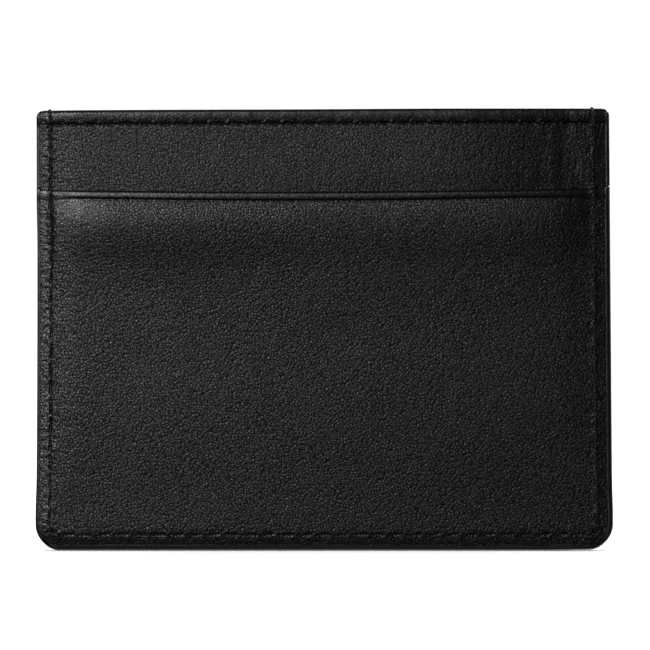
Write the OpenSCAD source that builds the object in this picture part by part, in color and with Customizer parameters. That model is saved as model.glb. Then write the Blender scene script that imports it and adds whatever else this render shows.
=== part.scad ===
// Slim leather card holder: one card slot on each face and an open pocket between them.
// It stands on its bottom edge with the mouths up: +X is its width, +Z its height, -Y its front.
// Every layer is a formed sheet: flat where it is sewn, raised in the middle so that a card fits.
// The back half is the front half mirrored across the XZ plane.

/* [Outline] */
// Overall width at the bottom edge, paint included
body_w = 100; // [92:0.5:112]
// Overall width at the top edge, paint included
top_w = 99.2; // [91:0.1:112]
// Overall height of the leather
body_h = 76.4; // [70:0.1:90]
// Radius of the two bottom corners
corner_r = 4.35; // [3.5:0.05:6]
// Radius of the two top corners
top_corner_r = 1.2; // [0.8:0.1:2]
// Distance from the top edge down to the lip of each card slot
lip_drop = 14.1; // [10:0.1:20]

/* [Layers] */
// Thickness of the skived calf leather
leather_t = 0.65; // [0.5:0.05:1]
// Thickness of the woven linings
lining_t = 0.15; // [0.1:0.05:0.3]
// Thickness of the board that stiffens each panel
stiffener_t = 0.25; // [0.2:0.05:0.4]
// Thickness of the edge paint
paint_t = 0.25; // [0.2:0.05:0.35]
// Free gap of a card slot at its lip, for one card of 0.76 mm
card_gap = 0.85; // [0.8:0.05:1.2]
// Free gap of the middle pocket
mouth_gap = 1; // [0.8:0.1:1.6]

/* [Hems] */
// Depth of the leather turned in at the top of each panel
panel_hem = 5; // [4.5:0.25:5]
// Depth of the leather turned in at each slot's lip
lip_hem = 7; // [5:0.5:9]
// Thickness of the turned leather where it faces the slot
lip_hem_t = 0.4; // [0.3:0.05:0.5]
// Distance from the lip down to the pressed crease line
crease_drop = 1.3; // [1:0.1:2]

/* [Seams] */
// Distance from the left edge to its seam
seam_left = 2.4; // [2.2:0.1:2.9]
// Distance from the right edge to its seam
seam_right = 2.9; // [2.2:0.1:2.9]
// Distance from the bottom edge to its seam
seam_bottom = 2.7; // [2.2:0.1:2.9]
// Distance from the top edge to the seam of each mouth
seam_mouth = 2.2; // [2.2:0.1:3]
// Stitches along each side
side_stitches = 20; // [17:1:23]
// Stitches along the bottom
bottom_stitches = 29; // [24:1:34]
// Stitches along each mouth
mouth_stitches = 30; // [24:1:34]

/* [Hidden] */

black_leather = [0.10, 0.10, 0.105];
black_cloth = [0.14, 0.14, 0.15];
grey_board = [0.55, 0.52, 0.47];
black_paint = [0.05, 0.05, 0.05];
black_thread = [0.07, 0.07, 0.07];

eps = 0.01;
over = 1;                       // how far a cutter runs past what it cuts
lip_z = body_h - lip_drop;

// A face is a pair: its distance from the mid-plane in the sewn margin, and its rise in the middle.
mouth_rise = mouth_gap / 2;
lining_in = [0, mouth_rise];
stiffener_in = [lining_t, mouth_rise];
panel_in = [lining_t + stiffener_t, mouth_rise];
panel_out = panel_in + [leather_t, 0];
slot_rise = mouth_rise + card_gap + lip_hem_t - lining_t;
pocket_lining_in = [panel_out[0], slot_rise];
pocket_in = pocket_lining_in + [lining_t, 0];
pocket_out = pocket_in + [leather_t, 0];
lip_hem_in = [pocket_lining_in[0], slot_rise + lining_t - lip_hem_t];

// The raised middle starts just inside the seams: inset from the edge, corner radius, share of the rise.
ramp = [[3.3, 2.0, 0], [6.3, 3.0, 1]];

thread_w = 0.4;                 // width of a thread
thread_h = 0.3;                 // how far a stitch stands off the leather
stitch_dip = 0.12;              // how far it still stands off where it enters a needle hole
bobbin_h = 0.2;                 // the same two heights inside the middle pocket
bobbin_dip = 0.08;
thread_lift = 0.02;             // clearance under a stitch
hole_w = 0.5;                   // width of a needle hole
corner_cut = 1.4;               // the seam cuts each bottom corner by this much
tack_drop = 6.6;                // from the top edge down to a corner tack's hole
tack_gap = 1.3;                 // from there down to the side seam's first hole
tack_spread = 0.25;             // from the seam to each of a tack's two loops
crease_w = 0.4;
crease_d = 0.12;

taper = atan((body_w - top_w) / 2 / body_h);
side_low = seam_bottom + corner_cut;
side_pitch = (body_h - tack_drop - tack_gap - side_low) / side_stitches;
mouth_z = body_h - seam_mouth;
mouth_left = -top_w / 2 + 1.3;
mouth_right = top_w / 2 - seam_right;
mouth_pitch = (mouth_right - mouth_left) / mouth_stitches;
bottom_left = -body_w / 2 + seam_left + corner_cut;
bottom_right = body_w / 2 - seam_right - corner_cut;
bottom_pitch = (bottom_right - bottom_left) / bottom_stitches;

function half_w(z) = (body_w - (body_w - top_w) * z / body_h) / 2;
function side_x(side, z) = side * (half_w(z) - (side < 0 ? seam_left : seam_right));

function arc(centre, r, from, to, n = 6) =
    [for (i = [0:n]) let (a = from + (to - from) * i / n) centre + r * [cos(a), sin(a)]];

// The right half of the outline, from the bottom up, at an inset from the painted edge.
function right_half(inset, r, z_top, r_top) = concat(
    arc([half_w(inset + r) - inset - r, inset + r], r, -90, 0),
    r_top > 0
        ? arc([half_w(z_top) - inset - r_top, z_top - r_top], r_top, 0, 90, 4)
        : [[half_w(z_top) - inset, z_top]]
);
function left_half(points) = [for (i = [len(points) - 1:-1:0]) [-points[i][0], points[i][1]]];

module outline(inset, r, z_top, r_top = 0) {
    right = right_half(inset, r, z_top, r_top);
    polygon(concat(right, left_half(right)));
}

// Puts a 2D shape of the XZ plane at a distance from the mid-plane, towards the front.
module layer(from, to) {
    rotate([90, 0, 0]) translate([0, 0, from]) linear_extrude(to - from) children();
}

module back_half() {
    mirror([0, 1, 0]) children();
}

// The space from the mid-plane side up to a face's raised middle.
module raised(face, z_top, under = 0) {
    for (i = [0:len(ramp) - 2]) {
        low = ramp[i];
        high = ramp[i + 1];
        hull() {
            layer(face[0] - under, face[0] + face[1] * low[2] + eps) outline(low[0], low[1], z_top);
            layer(face[0] - under, face[0] + face[1] * high[2]) outline(high[0], high[1], z_top);
        }
    }
}

// One formed sheet between two faces, cut to a range of heights.
module sheet(inner, outer, z_top, z_low = 0) {
    intersection() {
        difference() {
            union() {
                layer(inner[0], outer[0]) outline(paint_t, corner_r - paint_t, z_top, 0);
                raised(outer, z_top);
            }
            raised(inner, z_top + over, over);
        }
        translate([-body_w, -body_w, z_low]) cube([2 * body_w, 2 * body_w, z_top - z_low]);
    }
}

// Rounds the two top corners of whatever reaches the top edge.
module round_top() {
    intersection() {
        children();
        layer(-over, pocket_out[0] + pocket_out[1] + over)
            outline(paint_t, corner_r - paint_t, body_h, top_corner_r - paint_t);
    }
}

// Places of the needle holes.
side_zs = [for (i = [0:side_stitches]) side_low + i * side_pitch];
bottom_xs = [for (i = [0:bottom_stitches]) bottom_left + i * bottom_pitch];
mouth_xs = [for (i = [0:mouth_stitches]) mouth_left + i * mouth_pitch];
tack_z = body_h - tack_drop;

module needle_hole(x, z) {
    translate([x - hole_w / 2, -body_w / 2, z - hole_w / 2]) cube([hole_w, body_w, hole_w]);
}

module perimeter_holes() {
    for (side = [-1, 1], z = side_zs) needle_hole(side_x(side, z), z);
    for (x = bottom_xs) needle_hole(x, seam_bottom);
}

module tack_holes() {
    for (side = [-1, 1], k = [-1, 1]) needle_hole(side_x(side, tack_z) + k * tack_spread, tack_z);
}

module mouth_holes() {
    for (x = mouth_xs) needle_hole(x, mouth_z);
}

module pocket() {
    difference() {
        union() {
            sheet(pocket_in, pocket_out, lip_z);
            sheet(lip_hem_in, pocket_in, lip_z, lip_z - lip_hem);
        }
        perimeter_holes();
        lip_crease();
    }
}

// The pressed line under a slot's lip.
module lip_crease() {
    crease_half = half_w(lip_z) - ramp[len(ramp) - 1][0];
    surface = pocket_out[0] + pocket_out[1];
    translate([-crease_half, -surface - over, lip_z - crease_drop - crease_w / 2])
        cube([2 * crease_half, over + crease_d, crease_w]);
}

module pocket_lining() {
    difference() {
        sheet(pocket_lining_in, pocket_in, lip_z - lip_hem);
        perimeter_holes();
    }
}

module panel() {
    round_top() difference() {
        union() {
            sheet(panel_in, panel_out, body_h);
            sheet(lining_in, panel_in, body_h, body_h - panel_hem);
        }
        perimeter_holes();
        tack_holes();
        mouth_holes();
    }
}

module stiffener() {
    difference() {
        sheet(stiffener_in, panel_in, body_h - panel_hem);
        perimeter_holes();
        tack_holes();
    }
}

module lining() {
    difference() {
        sheet(lining_in, stiffener_in, body_h - panel_hem);
        perimeter_holes();
        tack_holes();
    }
}

// The painted edge: a band round the sides and the bottom, thinner above the slots' lips.
module edge_paint() {
    paint_top = body_h - top_corner_r / 2;
    difference() {
        union() {
            intersection() {
                layer(-pocket_out[0], pocket_out[0]) outline(0, corner_r, body_h, top_corner_r);
                translate([-body_w, -body_w, 0]) cube([2 * body_w, 2 * body_w, lip_z]);
            }
            intersection() {
                layer(-panel_out[0], panel_out[0]) outline(0, corner_r, body_h, top_corner_r);
                translate([-body_w, -body_w, 0]) cube([2 * body_w, 2 * body_w, paint_top]);
            }
        }
        layer(-over - pocket_out[0], over + pocket_out[0])
            outline(paint_t, corner_r - paint_t, body_h + over);
    }
}

// A seam's thread, seen from its side: it runs along a surface and dips to root at each needle hole.
// Points are [along the seam, distance from the mid-plane]; surface is a table for lookup().
function sorted(v) = len(v) < 2 ? v : let (
    pivot = v[0],
    rest = [for (i = [1:len(v) - 1]) v[i]]
) concat(sorted([for (a = rest) if (a <= pivot) a]), [pivot], sorted([for (a = rest) if (a > pivot) a]));

function near_hole(s, holes, reach) = len([for (h = holes) if (abs(h - s) < reach) h]) > 0;

// The surface's own break points between the first and last hole, but none within a hole.
function breaks(surface, holes) = [for (p = surface)
    if (p[0] > holes[0] && p[0] < holes[len(holes) - 1] && !near_hole(p[0], holes, thread_w)) p[0]];

function thread_profile(holes, surface, root, high = thread_h, dip = stitch_dip) = let (
    w = thread_w / 2,
    first = holes[0],
    last = holes[len(holes) - 1],
    stops = sorted(concat(holes, breaks(surface, holes))),
    top = [for (s = stops) each near_hole(s, holes, eps)
        ? [[s - w, lookup(s - w, surface) + (s == first ? dip : high)],
           [s, lookup(s, surface) + dip],
           [s + w, lookup(s + w, surface) + (s == last ? dip : high)]]
        : [[s, lookup(s, surface) + high]]],
    under = [for (i = [len(stops) - 1:-1:0]) let (s = stops[i]) each near_hole(s, holes, eps)
        ? [[s + w, s == last ? root : lookup(s + w, surface) + thread_lift],
           [s + w, root],
           [s - w, root],
           [s - w, s == first ? root : lookup(s - w, surface) + thread_lift]]
        : [[s, lookup(s, surface) + thread_lift]]]
) concat(top, under);

// The outer face where the side seams run, which drops at the slot's lip.
side_surface = [
    [0, pocket_out[0]],
    [lip_z + 0.05, pocket_out[0]],
    [lip_z + 0.45, panel_out[0]],
    [body_h, panel_out[0]]
];
bottom_surface = [[-body_w, pocket_out[0]], [body_w, pocket_out[0]]];

// A face across the mouth seam, from edge to edge.
function mouth_surface(face) = let (
    right = [for (r = ramp) [half_w(mouth_z) - r[0], face[0] + face[1] * r[2]]],
    left = [for (i = [len(right) - 1:-1:0]) [-right[i][0], right[i][1]]]
) concat([[-body_w, face[0]]], left, right, [[body_w, face[0]]]);

// A thread that lies in a plane of constant x, sheared to follow the tapered side.
module side_thread(side) {
    x0 = side_x(side, side_low);
    translate([x0, 0, side_low]) rotate([0, -side * taper, 0]) translate([-thread_w / 2, 0, -side_low])
        rotate([0, -90, 0]) mirror([0, 0, 1]) linear_extrude(thread_w)
            mirror([0, 1]) polygon(thread_profile(side_zs, side_surface, 0));
}

module bottom_thread() {
    translate([0, 0, seam_bottom - thread_w / 2]) linear_extrude(thread_w)
        mirror([0, 1]) polygon(thread_profile(bottom_xs, bottom_surface, 0));
}

// The slanting stitch at a bottom corner.
module corner_stitch(side) {
    from = [side_x(side, side_low), side_low];
    to = [side < 0 ? bottom_left : bottom_right, seam_bottom];
    layer(pocket_out[0] + thread_lift, pocket_out[0] + stitch_dip) hull() {
        translate(from) square(thread_w, center = true);
        translate(to) square(thread_w, center = true);
    }
}

module perimeter_thread() {
    for (side = [-1, 1]) {
        side_thread(side);
        corner_stitch(side);
    }
    bottom_thread();
}

mouth_root = (lining_in[0] + panel_out[0]) / 2;

module mouth_needle_thread() {
    translate([0, 0, mouth_z - thread_w / 2]) linear_extrude(thread_w)
        mirror([0, 1]) polygon(thread_profile(mouth_xs, mouth_surface(panel_out), mouth_root));
}

// The bobbin side faces the middle pocket, and is laid only where the panels stand apart.
module mouth_bobbin_thread() {
    clear_half = half_w(mouth_z) - ramp[1][0] - 1;
    holes = [for (x = mouth_xs) if (abs(x) < clear_half) x];
    facing_in = [for (p = mouth_surface(lining_in)) [p[0], -p[1]]];
    translate([0, 0, mouth_z - thread_w / 2]) linear_extrude(thread_w)
        polygon(thread_profile(holes, facing_in, -mouth_root, bobbin_h, bobbin_dip));
}

// Two closed loops of thread over the top edge, which stop the seam opening at the mouth.
module corner_tack(side) {
    out = panel_out[0] + thread_h + thread_lift;
    for (k = [-1, 1])
        translate([side_x(side, tack_z) + k * tack_spread - thread_w / 2, 0, 0])
            difference() {
                translate([0, -out - thread_h, tack_z - thread_w / 2])
                    cube([thread_w, 2 * (out + thread_h), tack_drop + thread_w / 2 + thread_h]);
                translate([-over, -out, tack_z + thread_w / 2])
                    cube([thread_w + 2 * over, 2 * out, tack_drop - thread_w / 2 + thread_lift]);
            }
}

color(black_leather) pocket();  // front_pocket
color(black_cloth) pocket_lining();  // front_pocket_lining
color(black_leather) panel();  // front_panel
color(grey_board) stiffener();  // front_stiffener
color(black_cloth) lining();  // front_lining
color(black_cloth) back_half() lining();  // back_lining
color(grey_board) back_half() stiffener();  // back_stiffener
color(black_leather) back_half() panel();  // back_panel
color(black_cloth) back_half() pocket_lining();  // back_pocket_lining
color(black_leather) back_half() pocket();  // back_pocket
color(black_paint) edge_paint();
color(black_thread) perimeter_thread();  // perimeter_needle_thread
color(black_thread) back_half() perimeter_thread();  // perimeter_bobbin_thread
color(black_thread) mouth_needle_thread();  // front_mouth_needle_thread
color(black_thread) mouth_bobbin_thread();  // front_mouth_bobbin_thread
color(black_thread) back_half() mouth_needle_thread();  // back_mouth_needle_thread
color(black_thread) back_half() mouth_bobbin_thread();  // back_mouth_bobbin_thread
color(black_thread) corner_tack(-1);  // left_corner_tack
color(black_thread) corner_tack(1);  // right_corner_tack
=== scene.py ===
"""Card holder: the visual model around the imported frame.

The shape functions work in millimetres: x across, z up, and d, the distance from the mid-plane of the
holder, towards the front (-Y) or the back (+Y).
"""
import math

import bmesh
import bpy
import numpy as np
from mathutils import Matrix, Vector


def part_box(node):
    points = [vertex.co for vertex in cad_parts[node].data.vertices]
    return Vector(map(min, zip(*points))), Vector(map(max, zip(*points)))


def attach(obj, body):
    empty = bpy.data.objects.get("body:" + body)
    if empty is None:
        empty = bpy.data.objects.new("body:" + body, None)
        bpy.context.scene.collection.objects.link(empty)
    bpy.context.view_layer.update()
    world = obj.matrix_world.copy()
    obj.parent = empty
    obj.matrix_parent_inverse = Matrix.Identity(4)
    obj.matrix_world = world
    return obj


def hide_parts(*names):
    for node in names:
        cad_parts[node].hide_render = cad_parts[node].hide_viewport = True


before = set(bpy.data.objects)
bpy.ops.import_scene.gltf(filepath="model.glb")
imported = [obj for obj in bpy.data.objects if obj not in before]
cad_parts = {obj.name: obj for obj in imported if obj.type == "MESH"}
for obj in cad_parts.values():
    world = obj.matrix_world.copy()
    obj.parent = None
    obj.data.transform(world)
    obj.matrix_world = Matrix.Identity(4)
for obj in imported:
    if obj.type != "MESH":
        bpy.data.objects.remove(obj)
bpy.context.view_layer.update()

FRONT, BACK = -1, 1


# ---------------------------------------------------------------- sizes in mm, from the frame where it has them

def box(node):
    low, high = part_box(node)
    return np.array(low) * 1000, np.array(high) * 1000


PAINT_HIGH = box("edge_paint")[1]
PANEL_LOW, PANEL_HIGH = box("front_panel")
POCKET_HIGH = box("front_pocket")[1]
MOUTH_LOW, MOUTH_HIGH = box("front_mouth_needle_thread")
TACK_LOW = box("left_corner_tack")[0]

HEIGHT = PANEL_HIGH[2]
LIP = POCKET_HIGH[2]                    # height of the slots' lips at the sides
PAINT = PANEL_LOW[2]                    # thickness of the edge paint
HALF_LOW = round(PAINT_HIGH[0], 1)      # half the width at the bottom edge
HALF_TOP = HALF_LOW - 0.4               # and at the top edge
RADIUS, TOP_RADIUS = 4.35, 1.2          # bottom and top corners
LIP_ROLL, TOP_ROLL = 0.62, 0.7          # how far the rounded folds stand over the last row below them
LEATHER, LINING, BOARD = 0.65, 0.15, 0.25    # thicknesses
LIP_HEM = 0.4                           # thickness of the pared hem behind a lip
PANEL_BASE = LINING + BOARD + LEATHER   # outer face of a panel in the sewn margin
POCKET_BASE = PAINT_HIGH[1]             # outer face of a pocket in the sewn margin
LIP_HEM_DROP, PANEL_HEM_DROP = 7.0, 5.0    # how far the turned hems reach down
SEAM_LEFT, SEAM_RIGHT, SEAM_BOTTOM = 2.4, 2.9, 2.7    # insets of the seam
SEAM_TURN = 1.4                         # the seam cuts a bottom corner this far from where its lines would meet
SIDE_STITCHES, BOTTOM_STITCHES, MOUTH_STITCHES, TACK_STITCHES = 20, 29, 30, 3
MOUTH_Z = (MOUTH_LOW[2] + MOUTH_HIGH[2]) / 2 - 0.33    # the mouth seams, a little lower than in the CAD model
TACK_Z = TACK_LOW[2] + 0.2              # the tacks' lowest hole
SEAM_AT = HALF_LOW - SEAM_RIGHT         # x of the right seam near the bottom
BRIDGE = 0.60                           # a stitch dives under the leather this far from its hole
SIDE_LOW, SIDE_TOP = SEAM_BOTTOM + SEAM_TURN, TACK_Z - 1.3    # lowest and highest hole of a side's run
LEFT_RUN, RIGHT_RUN, RUN_TOP = -47, 45, 74    # holes beyond these in x belong to a side's run, up to this height


# ---------------------------------------------------------------- small functions

def smooth(low, high, v):
    t = np.clip((v - low) / (high - low), 0, 1)
    return t * t * (3 - 2 * t)


def half_w(z):
    return HALF_LOW + (HALF_TOP - HALF_LOW) * z / HEIGHT


def noise(x, z, size, seed):
    """Smooth value noise between -1 and 1, with cells of that size."""
    table = np.random.default_rng(seed).uniform(-1, 1, (64, 64))
    u, v = x / size + 200.31, z / size + 200.77
    i, j = np.floor(u).astype(int), np.floor(v).astype(int)
    fu, fv = u - i, v - j
    fu, fv = fu * fu * (3 - 2 * fu), fv * fv * (3 - 2 * fv)

    def at(a, b):
        return table[a % 64, b % 64]

    low = at(i, j) * (1 - fu) + at(i + 1, j) * fu
    high = at(i, j + 1) * (1 - fu) + at(i + 1, j + 1) * fu
    return low * (1 - fv) + high * fv


def edge_distance(x, z):
    """Distance inwards from the painted outline at the sides and the bottom."""
    qx, qz = np.abs(x) - (half_w(z) - RADIUS), RADIUS - z
    outside = np.hypot(np.maximum(qx, 0), np.maximum(qz, 0))
    return np.where(np.maximum(qx, qz) > 0, RADIUS - outside, RADIUS - np.maximum(qx, qz))


def lip(x):
    """The lip of a slot dips a little in the middle of its span."""
    return LIP + 0.29 - 0.48 * np.clip(1 - (x / 47.5) ** 2, 0, 1)


def hand(p):
    """The small irregularities of the whole holder, for points p, as moves of 0.02 to 0.24 mm."""
    x, y, z = p[..., 0], p[..., 1], p[..., 2]
    up = z / HEIGHT
    left, right = np.clip(-x / 50, 0, 1), np.clip(x / 50, 0, 1)
    low_corners = np.exp(-((z - 6) / 4.5) ** 2)
    # the whole leans left and its left side is hollow, and the left strip and both bottom corners stand out
    x2 = x - 0.22 * up + 0.13 * np.sin(np.pi * np.clip(up, 0, 1)) * left
    x2 = x2 - left * (0.12 * smooth(52, 62, z) + 0.15 * low_corners) + 0.12 * low_corners * right
    # the top left corner has dropped, the right half of the top stands higher, and so does the bottom right corner
    z2 = z - 0.24 * up * np.exp(-(x + 50) / 26) + 0.02 * up * noise(x, 0 * x, 17, 5)
    z2 = z2 + 0.14 * smooth(0.0, 1.8, z) + 0.13 * up * smooth(-10, 20, x)
    z2 = z2 + 0.12 * (1 - up) ** 8 * smooth(38, 46, x)
    return np.stack([x2, y, z2], -1)


# ---------------------------------------------------------------- seams: where the needle went through

def side_x(side, z):
    return side * (half_w(z) - (SEAM_LEFT if side < 0 else SEAM_RIGHT))


def spaced(a, b, n):
    return [a + (b - a) * i / n for i in range(n + 1)]


LEFT_HOLES, RIGHT_HOLES = (
    [(side_x(side, z), z) for z in spaced(SIDE_LOW, SIDE_TOP, SIDE_STITCHES)] for side in (-1, 1)
)
BOTTOM_FROM, BOTTOM_TO = -HALF_LOW + SEAM_LEFT + SEAM_TURN, HALF_LOW - SEAM_RIGHT - SEAM_TURN
BOTTOM_HOLES = [(x, SEAM_BOTTOM) for x in spaced(BOTTOM_FROM, BOTTOM_TO, BOTTOM_STITCHES)]
PERIMETER = np.array(LEFT_HOLES[::-1] + BOTTOM_HOLES + RIGHT_HOLES)
MOUTH = np.array([(x, MOUTH_Z) for x in spaced(-HALF_TOP + 1.3, HALF_TOP - SEAM_RIGHT, MOUTH_STITCHES)])
TACKS = {
    side: np.array([(side_x(side, z), z) for z in spaced(TACK_Z, HEIGHT, TACK_STITCHES)])
    for side in (-1, 1)
}


def unsteady(holes, seed, by):
    """Needle holes are never quite in line or evenly spaced: they are off by up to this."""
    rng = np.random.default_rng(seed)
    return holes + rng.uniform(-by, by, holes.shape)


PERIMETERS = {FRONT: unsteady(PERIMETER, 11, 0.09), BACK: unsteady(PERIMETER, 12, 0.09)}
MOUTHS = {FRONT: unsteady(MOUTH, 13, 0.06), BACK: unsteady(MOUTH, 14, 0.06)}


def pressed(x, z, holes, slot, seed, pull=0.10, reach=0.6, star=0.07, puff=0.09, even=0.25, width=0.15, taper=0.3,
            slant=lambda hole: 0.05, rise=0.0, lean=0.0):
    """How far a seam draws the leather in: a hollow (pull deep, reach wide) and a narrow slanting slot (slot deep)
    under each stitch, short creases spreading from each hole (star), and a small puff of leather standing up
    between one stitch and the next, moved up by rise and leaning over by lean."""
    rng = np.random.default_rng(seed)
    along, under, slots = np.full(x.shape, 99.0), np.full(x.shape, 99.0), np.zeros(x.shape)

    def near(a, b, end):
        """Where along a stitch each point lies, from 0 to 1, and how far from it, leaving out its ends."""
        step = b - a
        size = np.hypot(*step)
        s = np.clip(((x - a[0]) * step[0] + (z - a[1]) * step[1]) / size ** 2, end / size, 1 - end / size)
        return s, np.hypot(x - a[0] - s * step[0], z - a[1] - s * step[1])

    for a, b in zip(holes[:-1], holes[1:]):
        way = (b - a) / np.hypot(*(b - a))
        aside = slant(a) * np.array([way[1], -way[0]])
        np.minimum(along, near(a, b, 0.0)[1], out=along)
        s, r = near(a + aside, b - aside, BRIDGE - 0.18 * (a[0] < LEFT_RUN))
        np.minimum(under, r, out=under)
        np.maximum(slots, np.exp(-(r / (width * (1 + taper * (2 * s - 1)))) ** 2), out=slots)
    total = slot * slots + pull * (even * np.exp(-(along / reach) ** 2) + (1 - even) * np.exp(-(under / reach) ** 2))
    for h in holes:
        r, turn, arms = np.hypot(x - h[0], z - h[1]), rng.uniform(0, 6.28), rng.integers(4, 7)
        size = star * rng.uniform(0.5, 1.5)
        creases = size * np.cos(arms * np.arctan2(z - h[1], x - h[0]) + turn)
        total = total + creases * smooth(0.15, 0.7, r) * np.exp(-(r / 1.15) ** 2)
        at_side = 1.0 if abs(h[0]) > RIGHT_RUN and h[1] < RUN_TOP else 0.0      # wider puffs, inside the seam
        in_x = h[0] + (0.38 if h[0] < 0 else 0.12) * at_side
        across, up = x - in_x - lean * (z - h[1]), z - h[1] - rise
        if at_side and h[0] > 0:                     # these puffs tail away to the right and downwards
            across, up = np.where(across > 0, across / 1.2, across), np.where(up < 0, up / 1.5, up)
        bump = np.exp(-(across / (0.30 + 0.28 * at_side)) ** 2 - (up / (0.36 + 0.4 * at_side)) ** 2)
        total = total - puff * rng.uniform(0.3, 1.5) * bump
    return total


# ---------------------------------------------------------------- the surfaces of each layer, as d(x, z)

def field(x, z, side_run, low_run, more_right=0.0):
    """0 in the sewn margin, 1 in the raised middle, with the quickest rise just inside the seams."""
    def rise(v):
        t = np.clip(v, 0, 1)
        return 0.5 * (1 - (1 - t) ** 2) + 0.5 * t * t * (3 - 2 * t)

    start = np.where(x < 0, SEAM_LEFT, SEAM_RIGHT) + 0.15
    run = np.where(x < 0, side_run, side_run + more_right)
    return rise((half_w(z) - np.abs(x) - start) / run) * rise((z - SEAM_BOTTOM - 0.3) / low_run)


def right_corner(x, z):
    """1 at the bottom right corner."""
    return smooth(38, 46, x) * smooth(10, 4, z)


def margin_profile(e, x, z):
    """How far the sewn margin has fallen at e from the outline. The slope is steeper along the bottom, above all
    at its left end, and along the left edge. Its last part is sanded round."""
    low = smooth(6, 1, z) * (1 + 0.6 * smooth(10, -40, x) - 0.8 * smooth(0, 40, x)) - 0.9 * right_corner(x, z)
    slope = np.clip(1 - e / 3.0, 0, 1) ** 1.15
    steep = 0.56 + 0.16 * low + 0.12 * smooth(-44, -47, x)
    return steep * slope - 0.12 + 0.20 * np.clip(1 - e / 0.8, 0, 1) ** 2


def margin_fall(x, z):
    """The fall of the margin, with the creases that run round the bottom right corner."""
    e = edge_distance(x, z)
    creases = 0.022 * np.sin(8.5 * e + 2 * noise(x - z, x + z, 4, 81)) * smooth(0.6, 1.0, e) * smooth(3.0, 2.0, e)
    return margin_profile(e, x, z) + right_corner(x, z) * creases


def mouth_half_gap(x, z):
    """Half of the middle pocket's gap: pillowed across, widest behind the slots' lips, closing at the mouth."""
    near_seams = 0.24 + 0.18 * smooth(40, 57, z) - 0.10 * smooth(64, 77, z) + 0.12 * smooth(-30, -46, x)
    near_seams = near_seams + smooth(-5, 30, x) * (0.16 + 0.16 * smooth(38, 56, z) + 0.10 * smooth(60, 66, z))
    across = x + 6                                   # the pillow's crown is left of the middle
    span = np.where(across < 0, 41.3, 53.3)
    pillow = 0.35 * np.clip(z / 57, 0, 1) ** 2 + 0.60 * smooth(30, 58, z) - 0.30 * smooth(60, 77, z)
    strip = smooth(52, 64, z)
    return near_seams * field(x, z, 5.0, 30, 10 + 7 * strip) + pillow * np.clip(1 - (across / span) ** 2, 0, 1)


def waves(x, z, seed):
    """The slow unevenness of a piece of leather."""
    return 0.05 * noise(x, z, 17, seed) + 0.028 * noise(x, z, 7.5, seed + 1) + 0.010 * noise(x, z, 3.2, seed + 2)


def sewn(x, z, side, seed):
    """The perimeter seam. Its left run was drawn tighter than the others, and its stitches lie deeper."""
    left, right = smooth(LEFT_RUN + 1, LEFT_RUN, x), smooth(RIGHT_RUN, RIGHT_RUN + 1, x)
    along_bottom = (0.05 * smooth(10, -30, x) - 0.04 * smooth(0, 30, x)) * (1 - left - right)
    return pressed(
        x, z, PERIMETERS[side], 0.155 + 0.235 * left - 0.145 * right + along_bottom, seed,
        pull=0.07 - 0.03 * left - 0.05 * right,
        star=0.035 + 0.07 * left + 0.01 * right,
        puff=0.07 + 0.02 * left + 0.07 * right + 0.05 * right * smooth(LIP, LIP + 1, z),
        width=0.17 - 0.06 * left, taper=0.5, rise=-0.04,
        slant=lambda hole: -0.06 if hole[0] < LEFT_RUN else 0.05,
    )


def panel_base(x, z):
    return mouth_half_gap(x, z) + PANEL_BASE


def top_fold(z):
    """How far the leather stands up over the fold, between the mouth seam and the top edge."""
    crown = HEIGHT - 1.12                            # height of the parabola's highest point
    return np.where(z > MOUTH_Z, 0.125 * ((MOUTH_Z - crown) ** 2 - (z - crown) ** 2), 0)


def panel_outer(x, z, side):
    edge = edge_distance(x, z)
    seams = pressed(x, z, MOUTHS[side], 0.28, 21 + side, pull=0.03, reach=0.4, star=0.01, puff=0.15, even=0.5,
                    width=0.18, taper=0.5, slant=lambda hole: -0.12, rise=0.20, lean=0.6)
    ends = sum(pressed(x, z, TACKS[k], 0.10, 31 + k, pull=0.05, star=0.07) for k in (-1, 1))
    seams = (seams + ends + sewn(x, z, side, 41 + side)) * smooth(LIP - 6, LIP - 3, z)
    puckers = 0.022 * noise(x, z, 1.4, 51 + side) * smooth(HEIGHT - 5, HEIGHT - 2, z)
    puckers = puckers + 0.14 * noise(x, z / 5, 1.3, 57 + side) * smooth(33, 41, x) * smooth(3.0, 3.8, edge)
    return (
        panel_base(x, z) - margin_fall(x, z) - seams + top_fold(z) + puckers
        + waves(x, z, 61 + 3 * side) * smooth(2, 9, edge)
    )


def panel_inner(x, z, side):
    """Flush with the lining along the turned hem, and behind the board below it."""
    hem = smooth(HEIGHT - PANEL_HEM_DROP - 0.25, HEIGHT - PANEL_HEM_DROP + 0.05, z)
    return mouth_half_gap(x, z) + (LINING + BOARD) * (1 - hem)


def slot_rise(x, z):
    """How far a pocket stands off its panel: a bulge under the lip, where the hem is, slack below, and a puff at
    the upper left, where a card's corner has pushed."""
    q = lip(x) - z
    bulge = 0.10 + 0.30 * smooth(-0.5, 5.0, q) - 0.40 * smooth(5.2, 13.8, q)
    lower = 0.16 + 0.06 * np.exp(-((z - 20) / 14) ** 2)
    corner = 0.41 * smooth(-48.2, -46.1, x) * (1 - 0.5 * smooth(-46.3, -42.9, x)) + 0.30 * smooth(-44, -36.5, x)
    puff = corner * smooth(-6, -33, x) * smooth(-0.5, 6.0, q) * smooth(19, 5.5, q)
    bulge = bulge + 0.05 * smooth(1.6, 3.2, q) * smooth(16, 8, q)
    return (lower + bulge) * field(x, z, 6.0, 26, -2.0 * smooth(44, 54, z) + 4.5 * smooth(50, 57, z)) + puff


def pocket_inner(x, z, side):
    """The flesh side of a pocket, against its lining."""
    return panel_base(x, z) + LINING + slot_rise(x, z)


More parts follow.
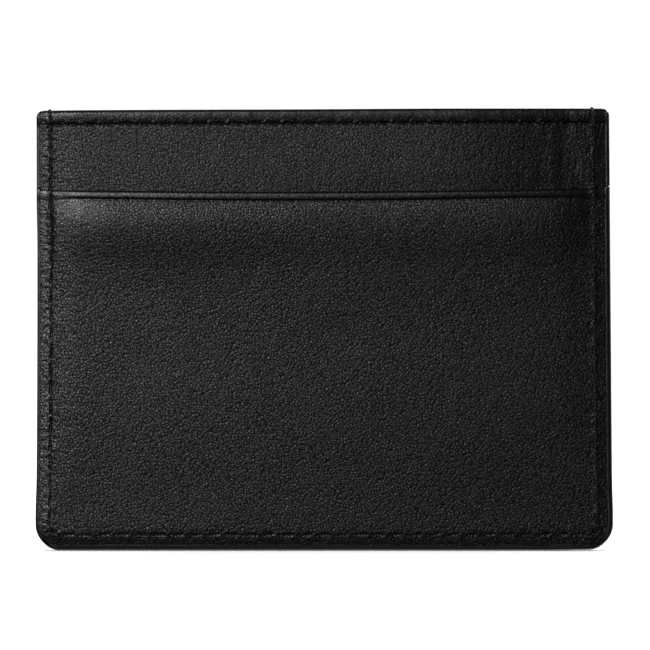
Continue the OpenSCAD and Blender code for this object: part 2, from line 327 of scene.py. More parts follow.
def lip_band(q):
    """The turned edge stands up a little between the lip and its crease."""
    return 0.26 * np.clip(1 - ((q - 0.76) / 1.0) ** 2, 0, 1)


def pocket_outer(x, z, side):
    q = lip(x) - z
    beside, edge = half_w(z) - np.abs(x), edge_distance(x, z)
    across = smooth(3.6, 8.5, beside)
    q = q - 0.05 * noise(x, 0 * x, 9, 71)
    from_crease = q - 1.62 + 0.12 * smooth(-20, -42, x) + 0.12 * smooth(15, 40, x)
    crease = 0.19 * np.exp(-(from_crease / 0.2) ** 2) * across
    band = lip_band(q) * (0.4 + 0.6 * across)
    seams = sewn(x, z, side, 81 + side)
    side_waves = 0.035 * noise(x, z, 2.6, 95 + side) * smooth(9, 4, beside) * smooth(1.0, 2.4, edge)
    return (
        pocket_inner(x, z, side) + LEATHER - margin_fall(x, z) - seams - crease + band + side_waves
        + waves(x, z, 91 + 3 * side) * smooth(2, 9, edge)
    )


def pocket_back(x, z, side):
    """The side of a pocket that faces its card: the turned hem, and the flesh side below it."""
    q = lip(x) - z
    hem = smooth(LIP_HEM_DROP + 0.1, LIP_HEM_DROP - 0.2, q)
    thick = LINING + (LIP_HEM - LINING) * field(x, z, 6.2, 11)
    return pocket_inner(x, z, side) - thick * hem


# ---------------------------------------------------------------- meshes

def mesh_object(name, verts, faces, material):
    """A smooth mesh from points in millimetres, with the irregularities of the whole holder."""
    mesh = bpy.data.meshes.new(name)
    mesh.from_pydata((hand(np.asarray(verts, float)) / 1000).tolist(), [], faces)
    mesh.materials.append(material)
    bm = bmesh.new()
    bm.from_mesh(mesh)
    bmesh.ops.recalc_face_normals(bm, faces=bm.faces)
    bm.to_mesh(mesh)
    bm.free()
    mesh.polygons.foreach_set("use_smooth", [True] * len(mesh.polygons))
    obj = bpy.data.objects.new(name, mesh)
    bpy.context.scene.collection.objects.link(obj)
    return obj


def place(obj, node):
    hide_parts(node)
    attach(obj, "root")


BAND = 6.2                               # at each side the columns of the grid stand close together as far in as this
INSETS = np.concatenate([[0, 0.05, 0.13, 0.24, 0.38, 0.53, 0.69], np.arange(0.86, 1.7, 0.17), np.arange(1.7, 3.1, 0.1),
                         np.arange(3.1, 4.4, 0.18), np.arange(4.4, BAND, 0.3)])
MIDDLE = np.linspace(-1, 1, 334)


def kept(edge_step, middle_step):
    """Indices of the grid columns that a row keeps: the margins' columns and the middle's, thinned out."""
    margin, mid = len(INSETS), len(MIDDLE)
    left = np.arange(0, margin, edge_step)
    middle = margin + np.arange(0, mid, middle_step)
    return np.concatenate([left, middle, 2 * margin + mid - 1 - left[::-1]])


FINE, MEDIUM, PLAIN = kept(1, 1), kept(1, 3), kept(3, 9)


def columns(rows, top_round):
    """x of each grid column on each row: close together at the sides, drawn in round the corners."""
    lines = []
    r = RADIUS - PAINT
    for z in rows:
        full = half_w(z) - PAINT
        w, up = full, z - PAINT
        if up < r:
            w = full - r + math.sqrt(max(r * r - (r - up) ** 2, 0))
        above = z - (HEIGHT - TOP_RADIUS)
        if top_round and above > 0:
            w = full - TOP_RADIUS + math.sqrt(max(TOP_RADIUS ** 2 - above ** 2, 0))
        inner = full - BAND
        outer = inner + (w - inner) * (1 - INSETS / BAND)
        lines.append(np.concatenate([-outer, MIDDLE * inner, outer[::-1]]))
    return np.array(lines)


def join(ids, rows):
    """Faces between consecutive rows of vertices, all the way round, where rows may keep different columns."""
    faces = []
    for k, keep in enumerate(rows):
        other, near, far = rows[(k + 1) % len(rows)], ids[k], ids[(k + 1) % len(rows)]
        if len(keep) == len(other):
            faces += np.stack([near[keep[:-1]], near[keep[1:]], far[keep[1:]], far[keep[:-1]]], -1).tolist()
            continue
        common = keep if len(keep) < len(other) else other
        for c, d in zip(common[:-1], common[1:]):
            one = near[keep[(keep >= c) & (keep <= d)]]
            two = far[other[(other >= c) & (other <= d)]]
            faces.append(one.tolist() + two[::-1].tolist())
    return faces


def shell(name, rows, outer, inner, side, material, fold=0.0, follow=0.0, face=MEDIUM, back=MEDIUM, fine=(0, 0),
          top_round=False):
    """A closed sheet between two surfaces, with a rounded fold along its top if it has one. With follow, its upper
    rows dip with the lip. Rows between the two heights of fine keep every column."""
    plain = np.unique(np.concatenate([rows[:8], rows[8:-1:3], rows[-1:]]))

    def sheet(surface, at):
        x = columns(at, top_round)
        z = np.repeat(at[:, None], x.shape[1], 1)
        z = z + (lip(x) - LIP) * smooth(LIP - 16, LIP - 3, z) * follow
        return np.stack([x, surface(x, z, side), z], -1)

    grid = list(sheet(outer, rows))
    keep = [FINE if fine[0] <= z <= fine[1] else face for z in rows]
    behind = sheet(inner, plain)[::-1]
    if fold:
        x, top, z = grid[-1].T
        mid, half = (top + behind[0, :, 1]) / 2, (top - behind[0, :, 1]) / 2
        for a in np.radians(np.linspace(15, 165, 11)):
            x = columns(rows[-1:] + fold * math.sin(a), top_round)[0]
            grid.append(np.stack([x, mid + half * math.cos(a), z + fold * math.sin(a)], -1))
            keep.append(keep[-1])
    grid = np.array(grid + list(behind))
    keep += [back] * len(behind)
    grid[..., 1] *= side
    n, m = grid.shape[:2]
    ids, verts = np.full((n, m), -1), []
    for k, c in enumerate(keep):
        ids[k, c] = np.arange(len(c)) + len(verts)
        verts += grid[k, c].tolist()
    faces = join(ids, keep)
    for col in (0, m - 1):                       # close each end, from the bottom up
        a, b = 0, n - 1
        while b - a >= 2:
            if b - a > 2 and grid[a + 1, col, 2] > grid[b - 1, col, 2] + 0.01:
                faces.append([ids[a, col], ids[b - 1, col], ids[b, col]])
                b -= 1
            else:
                faces.append([ids[a, col], ids[a + 1, col], ids[b, col]])
                a += 1
    return mesh_object(name, verts, faces, material)


CORNER_ROWS = PAINT + np.array([0, 0.02, 0.078, 0.176, 0.31, 0.49, 0.70])


def rows_to(*runs):
    """Heights of a sheet's rows: close together at the corners, then runs, each given as its end and its step."""
    parts = [CORNER_ROWS]
    start = CORNER_ROWS[-1] + 0.22
    for stop, step in runs:
        n = max(1, round((stop - start) / step))
        parts.append(np.linspace(start, stop, n, endpoint=False))
        start = stop
    return np.concatenate(parts + [[start]])


# ---------------------------------------------------------------- threads

def twisted(points, across, strand, apart, turn):
    """Two strands twisted round each other along a path: strand is their radius, apart their distance from its
    middle and turn their twist in radians per mm. across is the sideways direction at each point."""
    sides = 6
    tangent = np.gradient(points, axis=0)
    tangent /= np.linalg.norm(tangent, axis=1)[:, None]
    normal = np.cross(across, tangent)
    normal /= np.linalg.norm(normal, axis=1)[:, None]
    length = np.concatenate([[0], np.cumsum(np.linalg.norm(np.diff(points, axis=0), axis=1))])
    verts, faces = [], []
    for ply in (0, math.pi):
        phase = turn * length + ply
        centre = points + apart * (np.cos(phase)[:, None] * normal + np.sin(phase)[:, None] * across)
        first = len(verts)
        for p, n, a in zip(centre, normal, across):
            for k in range(sides):
                t = 2 * math.pi * k / sides
                verts.append(p + strand * (math.cos(t) * n + math.sin(t) * a))
        for i in range(len(centre) - 1):
            for k in range(sides):
                a, b = first + i * sides + k, first + i * sides + (k + 1) % sides
                faces.append([a, b, b + sides, a + sides])
        faces.append([first + k for k in range(sides)])
        last = first + (len(centre) - 1) * sides
        faces.append([last + k for k in range(sides)])
    return verts, faces


def seam_path(holes, surface, lock, side, seed, stand, slant=0.08, lift=0.0):
    """The path of one thread: over the leather from hole to hole, and down to the lock inside each hole, at lock
    from the mid-plane. It stands off the leather by stand, and by lift more near the start of each stitch."""
    rng = np.random.default_rng(seed)
    points, across = [], []
    for a, b in zip(holes[:-1], holes[1:]):
        way = (b - a) / np.linalg.norm(b - a)
        aside = np.array([way[1], -way[0]])
        lean = slant * rng.uniform(0.5, 1.5)
        start, stop = a + 0.13 * way + lean * aside, b - 0.13 * way - lean * aside
        t = np.linspace(0, 1, 22)
        line = start + (stop - start) * t[:, None]
        line = line + aside * (0.035 * np.sin(2 * np.pi * t) * rng.uniform(-1, 1))[:, None]
        bow = np.abs(2 * t - 1)                      # 0 in the middle of a stitch, 1 at its holes
        tight, slack = a[0] < LEFT_RUN, a[0] > RIGHT_RUN and a[1] < RUN_TOP
        proud = stand + lift * np.exp(-((t - 0.26) / 0.1) ** 2) - 0.24 * tight + 0.14 * slack
        d = surface(line[:, 0], line[:, 1]) + proud - 0.06 * bow ** 2 - 0.5 * smooth(0.58, 0.86, bow)
        points += [(start[0], side * lock, start[1]), (start[0], side * (lock * 0.6 + d[0] * 0.4), start[1])]
        points += [(p[0], side * h, p[1]) for p, h in zip(line, d)]
        points += [(stop[0], side * (lock * 0.6 + d[-1] * 0.4), stop[1]), (stop[0], side * lock, stop[1])]
        across += [(aside[0], 0, aside[1])] * (len(t) + 4)
    return np.array(points), np.array(across)


def thread(name, holes, surface, lock, side, seed, ply, **path):
    verts, faces = twisted(*seam_path(holes, surface, lock, side, seed, **path), *ply)
    return mesh_object(name, verts, faces, YARN)


# ---------------------------------------------------------------- the painted edge

def outline_path():
    """Points of the painted outline from the top left, round the bottom, to the top right, with the way in."""
    points = []

    def add(x, z, nx, nz):
        points.append((x, z, nx, nz))

    for a in np.radians(np.linspace(76, 0, 14)):             # short of 90, so that it ends under the fold
        r = TOP_RADIUS
        add(half_w(HEIGHT - r) - r + r * math.cos(a), HEIGHT - r + r * math.sin(a), -math.cos(a), -math.sin(a))
    high = np.linspace(HEIGHT - TOP_RADIUS - 0.5, LIP + 1.7, 25)
    near = np.linspace(LIP + 1.5, LIP - 1.9, 30)
    low = np.linspace(LIP - 2.4, RADIUS + 0.4, 112)
    for z in np.concatenate([high, near, low]):
        add(half_w(z), z, -1, 0)
    for a in np.radians(np.linspace(0, -90, 28)):
        add(half_w(RADIUS) - RADIUS + RADIUS * math.cos(a), RADIUS + RADIUS * math.sin(a), -math.cos(a), -math.sin(a))
    right = points[::-1]
    x0 = right[0][0]
    bottom = [(x, 0.0, 0.0, 1.0) for x in np.linspace(-x0, x0, 170)[1:-1]]
    left = [(-x, z, -nx, nz) for x, z, nx, nz in points]
    return np.array(left + bottom + right)


def edge_paint():
    """A bead of paint over the layers' cut edges, as rings of points round its section."""
    x, z, nx, nz = outline_path().T
    q = lip(x) - z
    base = PANEL_BASE + (POCKET_BASE - PANEL_BASE) * smooth(-0.55, -0.2, q) + 0.4 * lip_band(q)
    base = base + top_fold(np.minimum(z, HEIGHT - TOP_ROLL))
    over = np.clip((z - HEIGHT + TOP_ROLL) / TOP_ROLL, 0, 0.98)
    upper_right = smooth(40, 46, x) * smooth(LIP, LIP + 1, z)
    # how far in the paint reaches: there is more of it on the right and below
    rim = 0.42 + 0.36 * smooth(-48.5, -45, x) + 0.08 * smooth(4, 1, z) - 0.16 * upper_right
    rim = rim + 0.05 * noise(x + z, x - z, 5, 111)
    # the bead stands a little above the leather on the right and below, and most of all at the top right
    stands = -0.05 + 0.075 * smooth(-48, -44, x) - 0.03 * smooth(-30, -15, x) * smooth(3, 1, z)
    stands = stands - 0.03 * smooth(3, 1, z) + 0.015 * noise(x - z, x + z, 4, 112) + 0.08 * upper_right
    rings = []

    def shape(e):
        """The leather's distance from the mid-plane at e inside the outline."""
        level = base - margin_profile(e, x, z)
        return level * (0.6 + 0.4 * np.sqrt(1 - over ** 2))

    foot, crest = rim + 0.14 + 0.03 * upper_right, rim - 0.03 - 0.06 * upper_right
    level = shape(foot)
    front = [(foot + 0.06, level - 0.08)]
    for s in (1.0, 0.8, 0.6, 0.4, 0.2):
        front.append((crest + (foot - crest) * s, level + stands * (1 - s ** 1.5)))
    power = 4.5 - 2.1 * smooth(-48.5, -45, x)                # the left rim is flatter
    for a in np.radians(np.linspace(0, 90, 15)):
        depth = math.cos(a) ** (2 / power) if a < 1.57 else 0.0      # exactly 0 on the mid-plane
        front.append((crest * (1 - math.sin(a) ** (2 / power)), (level + stands) * depth))
    under = [np.maximum(rim * s, PAINT + 0.02) for s in (0.85, 0.6, 0.3)]
    inner = [(e, shape(e) - 0.05) for e in under]
    loop = front + [(e, -d) for e, d in front[-2::-1]] + [(e, -d) for e, d in inner] + inner[::-1]
    for e, d in loop:
        e = e * np.ones_like(x)
        rings.append(np.stack([x + nx * e, d * np.ones_like(x), z + nz * e], -1))
    grid = np.array(rings)
    n, m = grid.shape[:2]
    faces = []
    for i in range(n):
        k = (i + 1) % n
        faces += [[i * m + j, i * m + j + 1, k * m + j + 1, k * m + j] for j in range(m - 1)]
    faces.append([i * m for i in range(n)])
    faces.append([i * m + m - 1 for i in range(n)])
    return mesh_object("Painted_edge", grid.reshape(-1, 3), faces, EDGE)


# ---------------------------------------------------------------- materials

class Graph:
    """A material's node graph."""

    def __init__(self, name):
        self.material = bpy.data.materials.new(name)
        self.material.use_nodes = True
        self.nodes, self.links = self.material.node_tree.nodes, self.material.node_tree.links
        self.nodes.clear()
        self.shader = self.nodes.new("ShaderNodeBsdfPrincipled")
        out = self.nodes.new("ShaderNodeOutputMaterial")
        self.links.new(self.shader.outputs[0], out.inputs[0])

    def set(self, socket, value):
        if isinstance(value, bpy.types.NodeSocket):
            self.links.new(value, socket)
        else:
            socket.default_value = value

    def add(self, kind, out=0, settings=None, **inputs):
        """A new node's output. Its inputs are given by name, or by number as i0, i1 and so on."""
        node = self.nodes.new("ShaderNode" + kind)
        for key, value in (settings or {}).items():
            setattr(node, key, value)
        for key, value in inputs.items():
            self.set(node.inputs[int(key[1:]) if key[1:].isdigit() else key], value)
        return node.outputs[out]

    def math(self, operation, a, b=0.0):
        return self.add("Math", settings={"operation": operation}, i0=a, i1=b)

    def times(self, a, b):
        return self.math("MULTIPLY", a, b)

    def plus(self, a, b):
        return self.math("ADD", a, b)

    def vector(self, operation, a, b):
        return self.add("VectorMath", settings={"operation": operation}, i0=a, i1=b)

    def span(self, value, low, high, to_low=0.0, to_high=1.0):
        return self.add("MapRange", i0=value, i1=low, i2=high, i3=to_low, i4=to_high)

    def blend(self, factor, a, b):
        return self.add("Mix", settings={"data_type": "RGBA"}, out=2, i0=factor, i6=(*a, 1), i7=(*b, 1))

    def millimetres(self):
        """Object coordinates, in mm."""
        return self.vector("MULTIPLY", self.add("TexCoord", out=3), (1000, 1000, 1000))

    def shade(self, height, distance, colour, roughness, specular=None):
        """Sets the shader's inputs. height is in units of distance, which is in metres."""
        inputs = self.shader.inputs
        self.set(inputs["Base Color"], colour)
        self.set(inputs["Roughness"], roughness)
        if specular is not None:
            self.set(inputs["Specular IOR Level"], specular)
        self.set(inputs["Normal"], self.add("Bump", Strength=1.0, Distance=distance, Height=height))
        return self.material


CELLS_PER_MM = 2.1


def leather(name, seed, fold_at, strip=False):
    """Full-grain calf: rounded cells about 0.5 mm across, drawn into wrinkles beside the seams and stretched
    flatter over the fold at the top. Heights in mm. strip is for a panel, which shows only above the lip."""
    g = Graph(name)
    here = g.millimetres()
    mm = g.vector("ADD", here, (seed * 17.3, seed * 5.1, seed * 9.7))
    x, z = g.add("SeparateXYZ", out=0, Vector=here), g.add("SeparateXYZ", out=2, Vector=here)
    over_fold = (z, fold_at - 1.7, fold_at - 0.6)

    def warped(amount, size):
        bend = g.add("TexNoise", out=1, Vector=mm, Scale=1 / size, Detail=1.5)
        return g.vector("MULTIPLY", g.vector("SUBTRACT", bend, (0.5, 0.5, 0.5)), (amount, amount, amount))

    drift = g.vector("ADD", mm, g.vector("ADD", warped(1.2, 16.0), warped(0.22, 1.0)))
    cells = g.add("TexVoronoi", Vector=drift, Scale=CELLS_PER_MM)
    small = g.add("TexVoronoi", Vector=drift, Scale=3.7)
    edges = g.add("TexVoronoi", settings={"feature": "DISTANCE_TO_EDGE"}, Vector=drift, Scale=CELLS_PER_MM)
    rolling = g.add("TexNoise", Vector=mm, Scale=0.75, Detail=1.0)
    pores = g.add("TexNoise", Vector=mm, Scale=3.4, Detail=2.0, Roughness=0.6)

    def wrinkles(across, along, turn, shift):
        """Ridges running one way: narrow across, long along."""
        moved = g.vector("ADD", drift, (shift, 0, shift))
        turned = g.add("VectorRotate", settings={"rotation_type": "Y_AXIS"}, Vector=moved, Angle=turn)
        drawn = g.vector("MULTIPLY", turned, (1 / along, 0.5, 1 / across))
        return g.add("TexNoise", Vector=drawn, Scale=1.0, Detail=2.0, Roughness=0.55)

    left = g.span(x, -SEAM_AT - 0.5, -SEAM_AT + 4.5, 1.0, 0.12)
    right = g.span(x, SEAM_AT - 50, SEAM_AT - 1, 0.25, 1.0)
    beside = g.times(wrinkles(0.42, 1.8, 0.0, 3.1), g.times(left, 0.12))
    slanted = g.times(wrinkles(0.45, 2.4, -0.95, 7.7), g.times(right, 0.085))
    height = g.times(g.math("POWER", cells, 2.0), -0.054)
    height = g.plus(height, g.times(g.math("POWER", small, 2.0), -0.036))
    height = g.plus(height, g.span(edges, 0.0, 0.16, -0.020, 0.0))
    height = g.plus(height, g.times(pores, 0.026))
    height = g.times(height, g.span(*over_fold, 0.74 if strip else 1.0, 0.18))
    height = g.times(height, g.span(x, -SEAM_AT - 0.6, -SEAM_AT + 0.2, 0.8, 1.0))
    under = g.span(z, fold_at - 13, fold_at - 4)
    if not strip:                                    # pulled smooth where a card's corner pushes from inside
        stretched = g.times(g.span(x, -42.5, -35, 1.0, 0.0), under)
        height = g.times(height, g.span(stretched, 0.0, 1.0, 1.0, 0.50))
    height = g.plus(height, g.times(rolling, 0.036))
    height = g.plus(height, g.plus(beside, slanted))
    if strip:                                        # upright wrinkles towards the right tack
        height = g.plus(height, g.times(wrinkles(0.40, 2.6, 1.45, 5.5), g.span(x, 28, 43, 0.0, 0.115)))

    # painted light in the specular level: it falls from left to right, a painted highlight on the left and painted
    # shade on the right in place of the key light's falloff, and it rises over the fold, a painted highlight there. It
    # also drops in the creases, painted shade.
    sheen = g.times(g.span(x, -50, 50, 1.22, 0.76), g.span(*over_fold, 1.0, 1.40 if strip else 1.25))
    if strip:
        # painted shade: the strip's specular level is lowered all along, most at its left and right ends
        sheen = g.times(sheen, g.times(g.span(x, -25, 15, 0.80, 0.90), g.span(x, 22, 40, 1.0, 0.84)))
        # painted highlight: lowered a little left of x = 43 mm, raised towards the right seam
        sheen = g.times(sheen, g.span(x, 43, 45.5, 0.92, 1.42))
    # painted highlight: the specular level is raised in the left margin and, on a pocket, in the right margin
    left_margin = g.span(x, -SEAM_AT - 0.8, -SEAM_AT, 1.28, 1.0)
    right_margin = g.span(x, SEAM_AT - 0.2, SEAM_AT + 0.4, 1.0, 1.0 if strip else 1.35)
    sheen = g.times(sheen, g.times(left_margin, right_margin))
    if not strip:                                    # painted shade where it falls away towards the right seam: the specular level is lowered there
        painted_shade_zone = g.times(g.times(g.span(x, 40, 44.5), g.span(x, 45.3, 46.3, 1.0, 0.0)), under)
        sheen = g.times(sheen, g.span(painted_shade_zone, 0.0, 1.0, 1.0, 0.62))
    # painted shade in the grain: the base colour darkens from each cell's crown towards its sunken edge
    tone = g.blend(g.span(cells, 0.2, 0.8), (0.0048, 0.0048, 0.0049), (0.0030, 0.0030, 0.0031))
    # painted shade in the creases: the specular level drops towards the edge of each grain cell
    gloss = g.times(sheen, g.span(edges, 0.02, 0.20, 0.36, 0.96))
    return g.shade(height, 0.001, tone, g.span(pores, 0.3, 0.7, 0.37, 0.43), gloss)


def weave(name):
    """Plain-woven lining, with about three threads to the millimetre."""
    g = Graph(name)
    mm = g.millimetres()
    x, z = g.add("SeparateXYZ", out=0, Vector=mm), g.add("SeparateXYZ", out=2, Vector=mm)
    over = g.times(g.math("SINE", g.times(x, 21.0)), g.math("SINE", g.times(z, 21.0)))
    lint = g.add("TexNoise", Vector=mm, Scale=9.0, Detail=3.0)
    height = g.plus(over, g.times(lint, 0.8))
    tone = g.blend(g.span(height, -0.6, 1.4), (0.010, 0.010, 0.011), (0.030, 0.030, 0.032))
    return g.shade(height, 0.00005, tone, g.span(lint, 0.3, 0.7, 0.72, 0.9))


def fibre_board(name):
    g = Graph(name)
    mm = g.millimetres()
    fibre = g.add("TexNoise", Vector=g.vector("MULTIPLY", mm, (0.4, 1, 2.4)), Scale=2.4, Detail=5.0)
    speck = g.add("TexVoronoi", Vector=mm, Scale=1.1)
    tone = g.blend(g.span(fibre, 0.3, 0.7), (0.34, 0.31, 0.27), (0.52, 0.49, 0.43))
    return g.shade(fibre, 0.00005, tone, g.span(speck, 0.0, 1.0, 0.8, 0.95))


def painted(name):
    """Two coats of acrylic edge paint: nearly smooth, with brush swell and a few specks."""
    g = Graph(name)
    mm = g.millimetres()
    swell = g.add("TexNoise", Vector=mm, Scale=0.55, Detail=2.0)
    specks = g.add("TexNoise", Vector=mm, Scale=3.6, Detail=4.0, Roughness=0.65)
    height = g.plus(swell, g.times(specks, 0.25))
    tone = g.blend(g.span(specks, 0.3, 0.7), (0.004, 0.004, 0.004), (0.007, 0.007, 0.007))
    return g.shade(height, 0.00006, tone, g.span(specks, 0.3, 0.7, 0.32, 0.42), 0.8)


def yarn(name):
    """Bonded polyester: fine filaments with a low sheen."""
    g = Graph(name)
    mm = g.millimetres()
    filaments = g.add("TexNoise", Vector=g.vector("MULTIPLY", mm, (2.2, 2.2, 2.2)), Scale=4.0, Detail=3.0)
    tone = g.blend(g.span(filaments, 0.3, 0.7), (0.003, 0.003, 0.003), (0.007, 0.007, 0.007))
    # painted shade on the lower seam's thread: its specular level is lowered there, less on the left than on the right
    x, z = g.add("SeparateXYZ", out=0, Vector=mm), g.add("SeparateXYZ", out=2, Vector=mm)
    low_seam_painted_shade = g.span(z, 4.0, 7.0, g.span(x, -45, 20, 0.55, 0.32), 0.95)
    return g.shade(filaments, 0.00004, tone, g.span(filaments, 0.3, 0.7, 0.34, 0.48), low_seam_painted_shade)


LEATHERS = {
    "front_pocket": leather("leather_front_pocket", 1, LIP),
    "front_panel": leather("leather_front_panel", 2, HEIGHT, strip=True),
    "back_pocket": leather("leather_back_pocket", 3, LIP),
    "back_panel": leather("leather_back_panel", 4, HEIGHT, strip=True),
}
LINING_CLOTH, FIBRE = weave("lining_cloth"), fibre_board("fibre_board")
EDGE, YARN = painted("edge_paint"), yarn("thread_yarn")


# ---------------------------------------------------------------- the pieces

POCKET_ROWS = rows_to((2.1, 0.17), (3.3, 0.1), (6, 0.2), (LIP - 2.4, 0.25), (LIP - LIP_ROLL, 0.1))
PANEL_ROWS = rows_to((6, 0.6), (LIP - 8, 2.2), (LIP - 2, 0.6), (MOUTH_Z - 0.7, 0.25), (MOUTH_Z + 0.6, 0.1),
                     (HEIGHT - TOP_ROLL, 0.15))
COARSE_TO_LIP = rows_to((6, 0.7), (LIP - LIP_HEM_DROP, 1.6))
COARSE_TO_HEM = rows_to((6, 0.7), (HEIGHT - PANEL_HEM_DROP - 0.1, 1.6))


def after(*layers):
    """The surface that these layers' thicknesses lead to, counted from the middle pocket."""
    def at(x, z, side):
        d = mouth_half_gap(x, z)
        for thick in layers:
            d = d + thick
        return d
    return at


def pocket_lining_face(x, z, side):
    return pocket_inner(x, z, side) - LINING


for side, word in ((FRONT, "front"), (BACK, "back")):
    place(shell(word + "_pocket_leather", POCKET_ROWS, pocket_outer, pocket_back, side,
                LEATHERS[word + "_pocket"], fold=LIP_ROLL, follow=1.0, fine=(0, 6)), word + "_pocket")
    place(shell(word + "_pocket_cloth", COARSE_TO_LIP, pocket_inner, pocket_lining_face, side,
                LINING_CLOTH, follow=1.0, face=PLAIN, back=PLAIN), word + "_pocket_lining")
    place(shell(word + "_panel_leather", PANEL_ROWS, panel_outer, panel_inner, side, LEATHERS[word + "_panel"],
                fold=TOP_ROLL, fine=(MOUTH_Z - 2.5, HEIGHT), top_round=True), word + "_panel")
    place(shell(word + "_board", COARSE_TO_HEM, after(LINING, BOARD), after(LINING), side,
                FIBRE, face=PLAIN, back=PLAIN), word + "_stiffener")
    place(shell(word + "_lining_cloth", COARSE_TO_HEM, after(LINING), after(), side,
                LINING_CLOTH, face=PLAIN, back=PLAIN), word + "_lining")

place(edge_paint(), "edge_paint")


def outer_surface(side):
    """What a stitch of the perimeter seam lies on: the pocket, then over its lip on to the panel."""
    def at(x, z):
        z = np.asarray(z)
        low = pocket_outer(x, np.minimum(z, lip(x) - 0.4), side)
        high = panel_outer(x, np.maximum(z, LIP - 1), side)
        over = smooth(-0.15, 1.1, z - lip(x))
        return low * (1 - over) + high * over
    return at


place(thread("front_seam_thread", PERIMETERS[FRONT], outer_surface(FRONT), 0.0, FRONT, 201,
             (0.16, 0.13, 5.5), stand=-0.14, lift=0.22), "perimeter_needle_thread")
place(thread("back_seam_thread", PERIMETERS[BACK], outer_surface(BACK), 0.0, BACK, 202,
             (0.14, 0.115, 6.2), stand=0.06, slant=-0.05), "perimeter_bobbin_thread")
for side, word in ((FRONT, "front"), (BACK, "back")):
    holes = MOUTHS[side]
    place(thread(word + "_mouth_thread", holes, lambda x, z, s=side: panel_outer(x, z, s), PANEL_BASE / 2, side,
                 203 + side, (0.12, 0.10, 6.8), stand=-0.18, slant=-0.10, lift=0.28),
          word + "_mouth_needle_thread")
    # this run faces the other panel, so it stands off towards the mid-plane
    place(thread(word + "_mouth_lock_thread", holes[np.abs(holes[:, 0]) < 43], lambda x, z: -mouth_half_gap(x, z),
                 -PANEL_BASE / 2, -side, 205 + side, (0.06, 0.05, 11), stand=0.02, slant=0.03),
          word + "_mouth_bobbin_thread")


def corner_tack(side, name):
    """Two loops over the top edge: up the front, over, and down the back, pulled in at each hole. Each wanders a
    little from side to side, and they cross."""
    verts, faces = [], []
    for k, spread in ((0, -0.13), (1, 0.13)):
        points = []
        for face, order in ((FRONT, 1), (BACK, -1)):
            run = []
            for t in np.linspace(0, 1, 46):
                z = TACK_Z + 0.05 + (HEIGHT - 0.25 - TACK_Z) * t
                x = side_x(side, z) + 1.3 * spread * math.cos(7.5 * t) + 0.12 * math.sin(11 * t + 2 * k + face)
                dip = abs(math.sin(math.pi * 3 * t)) ** 0.45
                d = float(panel_outer(np.array([x]), np.array([z]), face)[0]) + 0.06 + 0.14 * dip + 0.05 * k
                if t < 0.04:                         # down into its lowest hole
                    d -= 0.25 * (1 - t / 0.04)
                run.append((x, face * d, z))
            points += run[::order]
            if order == 1:
                x, y, z = run[-1]
                for a in np.linspace(0, math.pi, 9)[1:-1]:
                    points.append((x, -abs(y) * math.cos(a), HEIGHT - 0.14 + 0.24 * math.sin(a)))
        low = points[-1]
        points = [(points[0][0], -0.05, points[0][2] - 0.05)] + points + [(low[0], 0.05, low[2] - 0.05)]
        v, f = twisted(np.array(points, float), np.repeat([[1.0, 0, 0]], len(points), 0), 0.13, 0.10, 6.0)
        faces += [[i + len(verts) for i in face] for face in f]
        verts += v
    return mesh_object(name, verts, faces, YARN)


for side, word in ((-1, "left"), (1, "right")):
    place(corner_tack(side, word + "_tack_thread"), word + "_corner_tack")


# ---------------------------------------------------------------- floor, light and camera

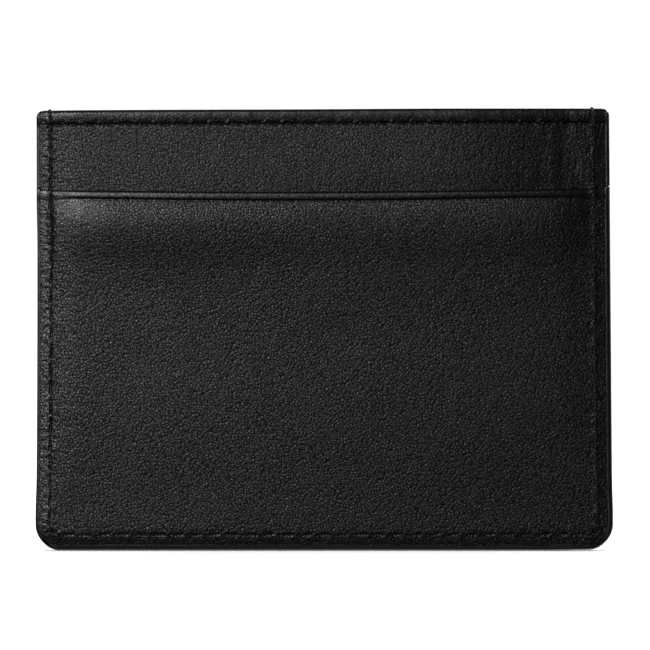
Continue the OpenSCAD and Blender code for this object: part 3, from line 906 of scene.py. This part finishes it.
def studio():
    mesh = bpy.data.meshes.new("floor")
    mesh.from_pydata([(-4, -4, 0), (4, -4, 0), (4, 4, 0), (-4, 4, 0)], [], [(0, 1, 2, 3)])
    g = Graph("floor_paper")
    tooth = g.add("TexNoise", Vector=g.millimetres(), Scale=0.5, Detail=3.0)
    g.set(g.shader.inputs["Base Color"], g.blend(tooth, (0.90, 0.90, 0.90), (0.93, 0.93, 0.93)))
    g.set(g.shader.inputs["Roughness"], 0.9)
    mesh.materials.append(g.material)
    floor = bpy.data.objects.new("floor", mesh)
    bpy.context.scene.collection.objects.link(floor)
    floor.visible_glossy = False
    floor.visible_diffuse = False
    floor.visible_shadow = False

    world = bpy.data.worlds.new("studio")
    world.use_nodes = True
    nodes, links = world.node_tree.nodes, world.node_tree.links
    nodes.clear()
    # white to the camera, nearly dark as a light
    mix = nodes.new("ShaderNodeMixShader")
    for k, strength in ((1, 0.025), (2, 1.05)):
        white = nodes.new("ShaderNodeBackground")
        white.inputs[0].default_value = (1, 1, 1, 1)
        white.inputs[1].default_value = strength
        links.new(white.outputs[0], mix.inputs[k])
    links.new(nodes.new("ShaderNodeLightPath").outputs["Is Camera Ray"], mix.inputs[0])
    links.new(mix.outputs[0], nodes.new("ShaderNodeOutputWorld").inputs[0])
    bpy.context.scene.world = world

    def area(name, at, aim, width, height, power):
        data = bpy.data.lights.new(name, "AREA")
        data.shape, data.size, data.size_y, data.energy = "RECTANGLE", width, height, power
        lamp = bpy.data.objects.new(name, data)
        lamp.location = at
        lamp.rotation_mode = "QUATERNION"
        lamp.rotation_quaternion = (Vector(aim) - Vector(at)).to_track_quat("-Z", "Y")
        lamp.visible_camera = False
        bpy.context.scene.collection.objects.link(lamp)
        return lamp

    area("key", (-0.235, -0.54, 0.30), (0, 0, 0.04), 0.16, 0.30, 1.80)
    area("backdrop_glow", (0, 0.30, 0.10), (0, 0, 0.10), 1.2, 1.2, 1.2)
    area("rear_key", (0.42, 0.62, 0.42), (0, 0, 0.04), 0.20, 0.30, 2.6)
    area("table_glow", (0, 0.62, -0.20), (0, 0.62, 0), 0.6, 1.2, 1.3)
    edge_fill = area("edge_fill", (0.22, -0.30, -0.25), (0, 0, 0.02), 0.5, 0.5, 0.16)
    rays = bpy.data.lights.new("floor_sun", "SUN")
    rays.energy, rays.angle = 4.4, 0.9
    sun = bpy.data.objects.new("floor_sun", rays)
    bpy.context.scene.collection.objects.link(sun)
    for lamp, only in ((sun, floor), (edge_fill, bpy.data.objects["Painted_edge"])):
        group = bpy.data.collections.new(lamp.name + "_only")
        group.objects.link(only)
        lamp.light_linking.receiver_collection = group

    cam = bpy.data.cameras.new("camera")
    cam.lens, cam.sensor_width = 400, 36
    cam.clip_start, cam.clip_end = 0.01, 50
    eye = bpy.data.objects.new("camera", cam)
    wide = 0.11275                                   # what the frame takes in at the holder
    eye.location = (0.0001, -wide * cam.lens / cam.sensor_width, 0.03914)
    eye.rotation_euler = (math.pi / 2, 0.0, 0.0)
    bpy.context.scene.collection.objects.link(eye)
    bpy.context.scene.camera = eye
    bpy.context.scene.view_settings.view_transform = "Standard"


studio()
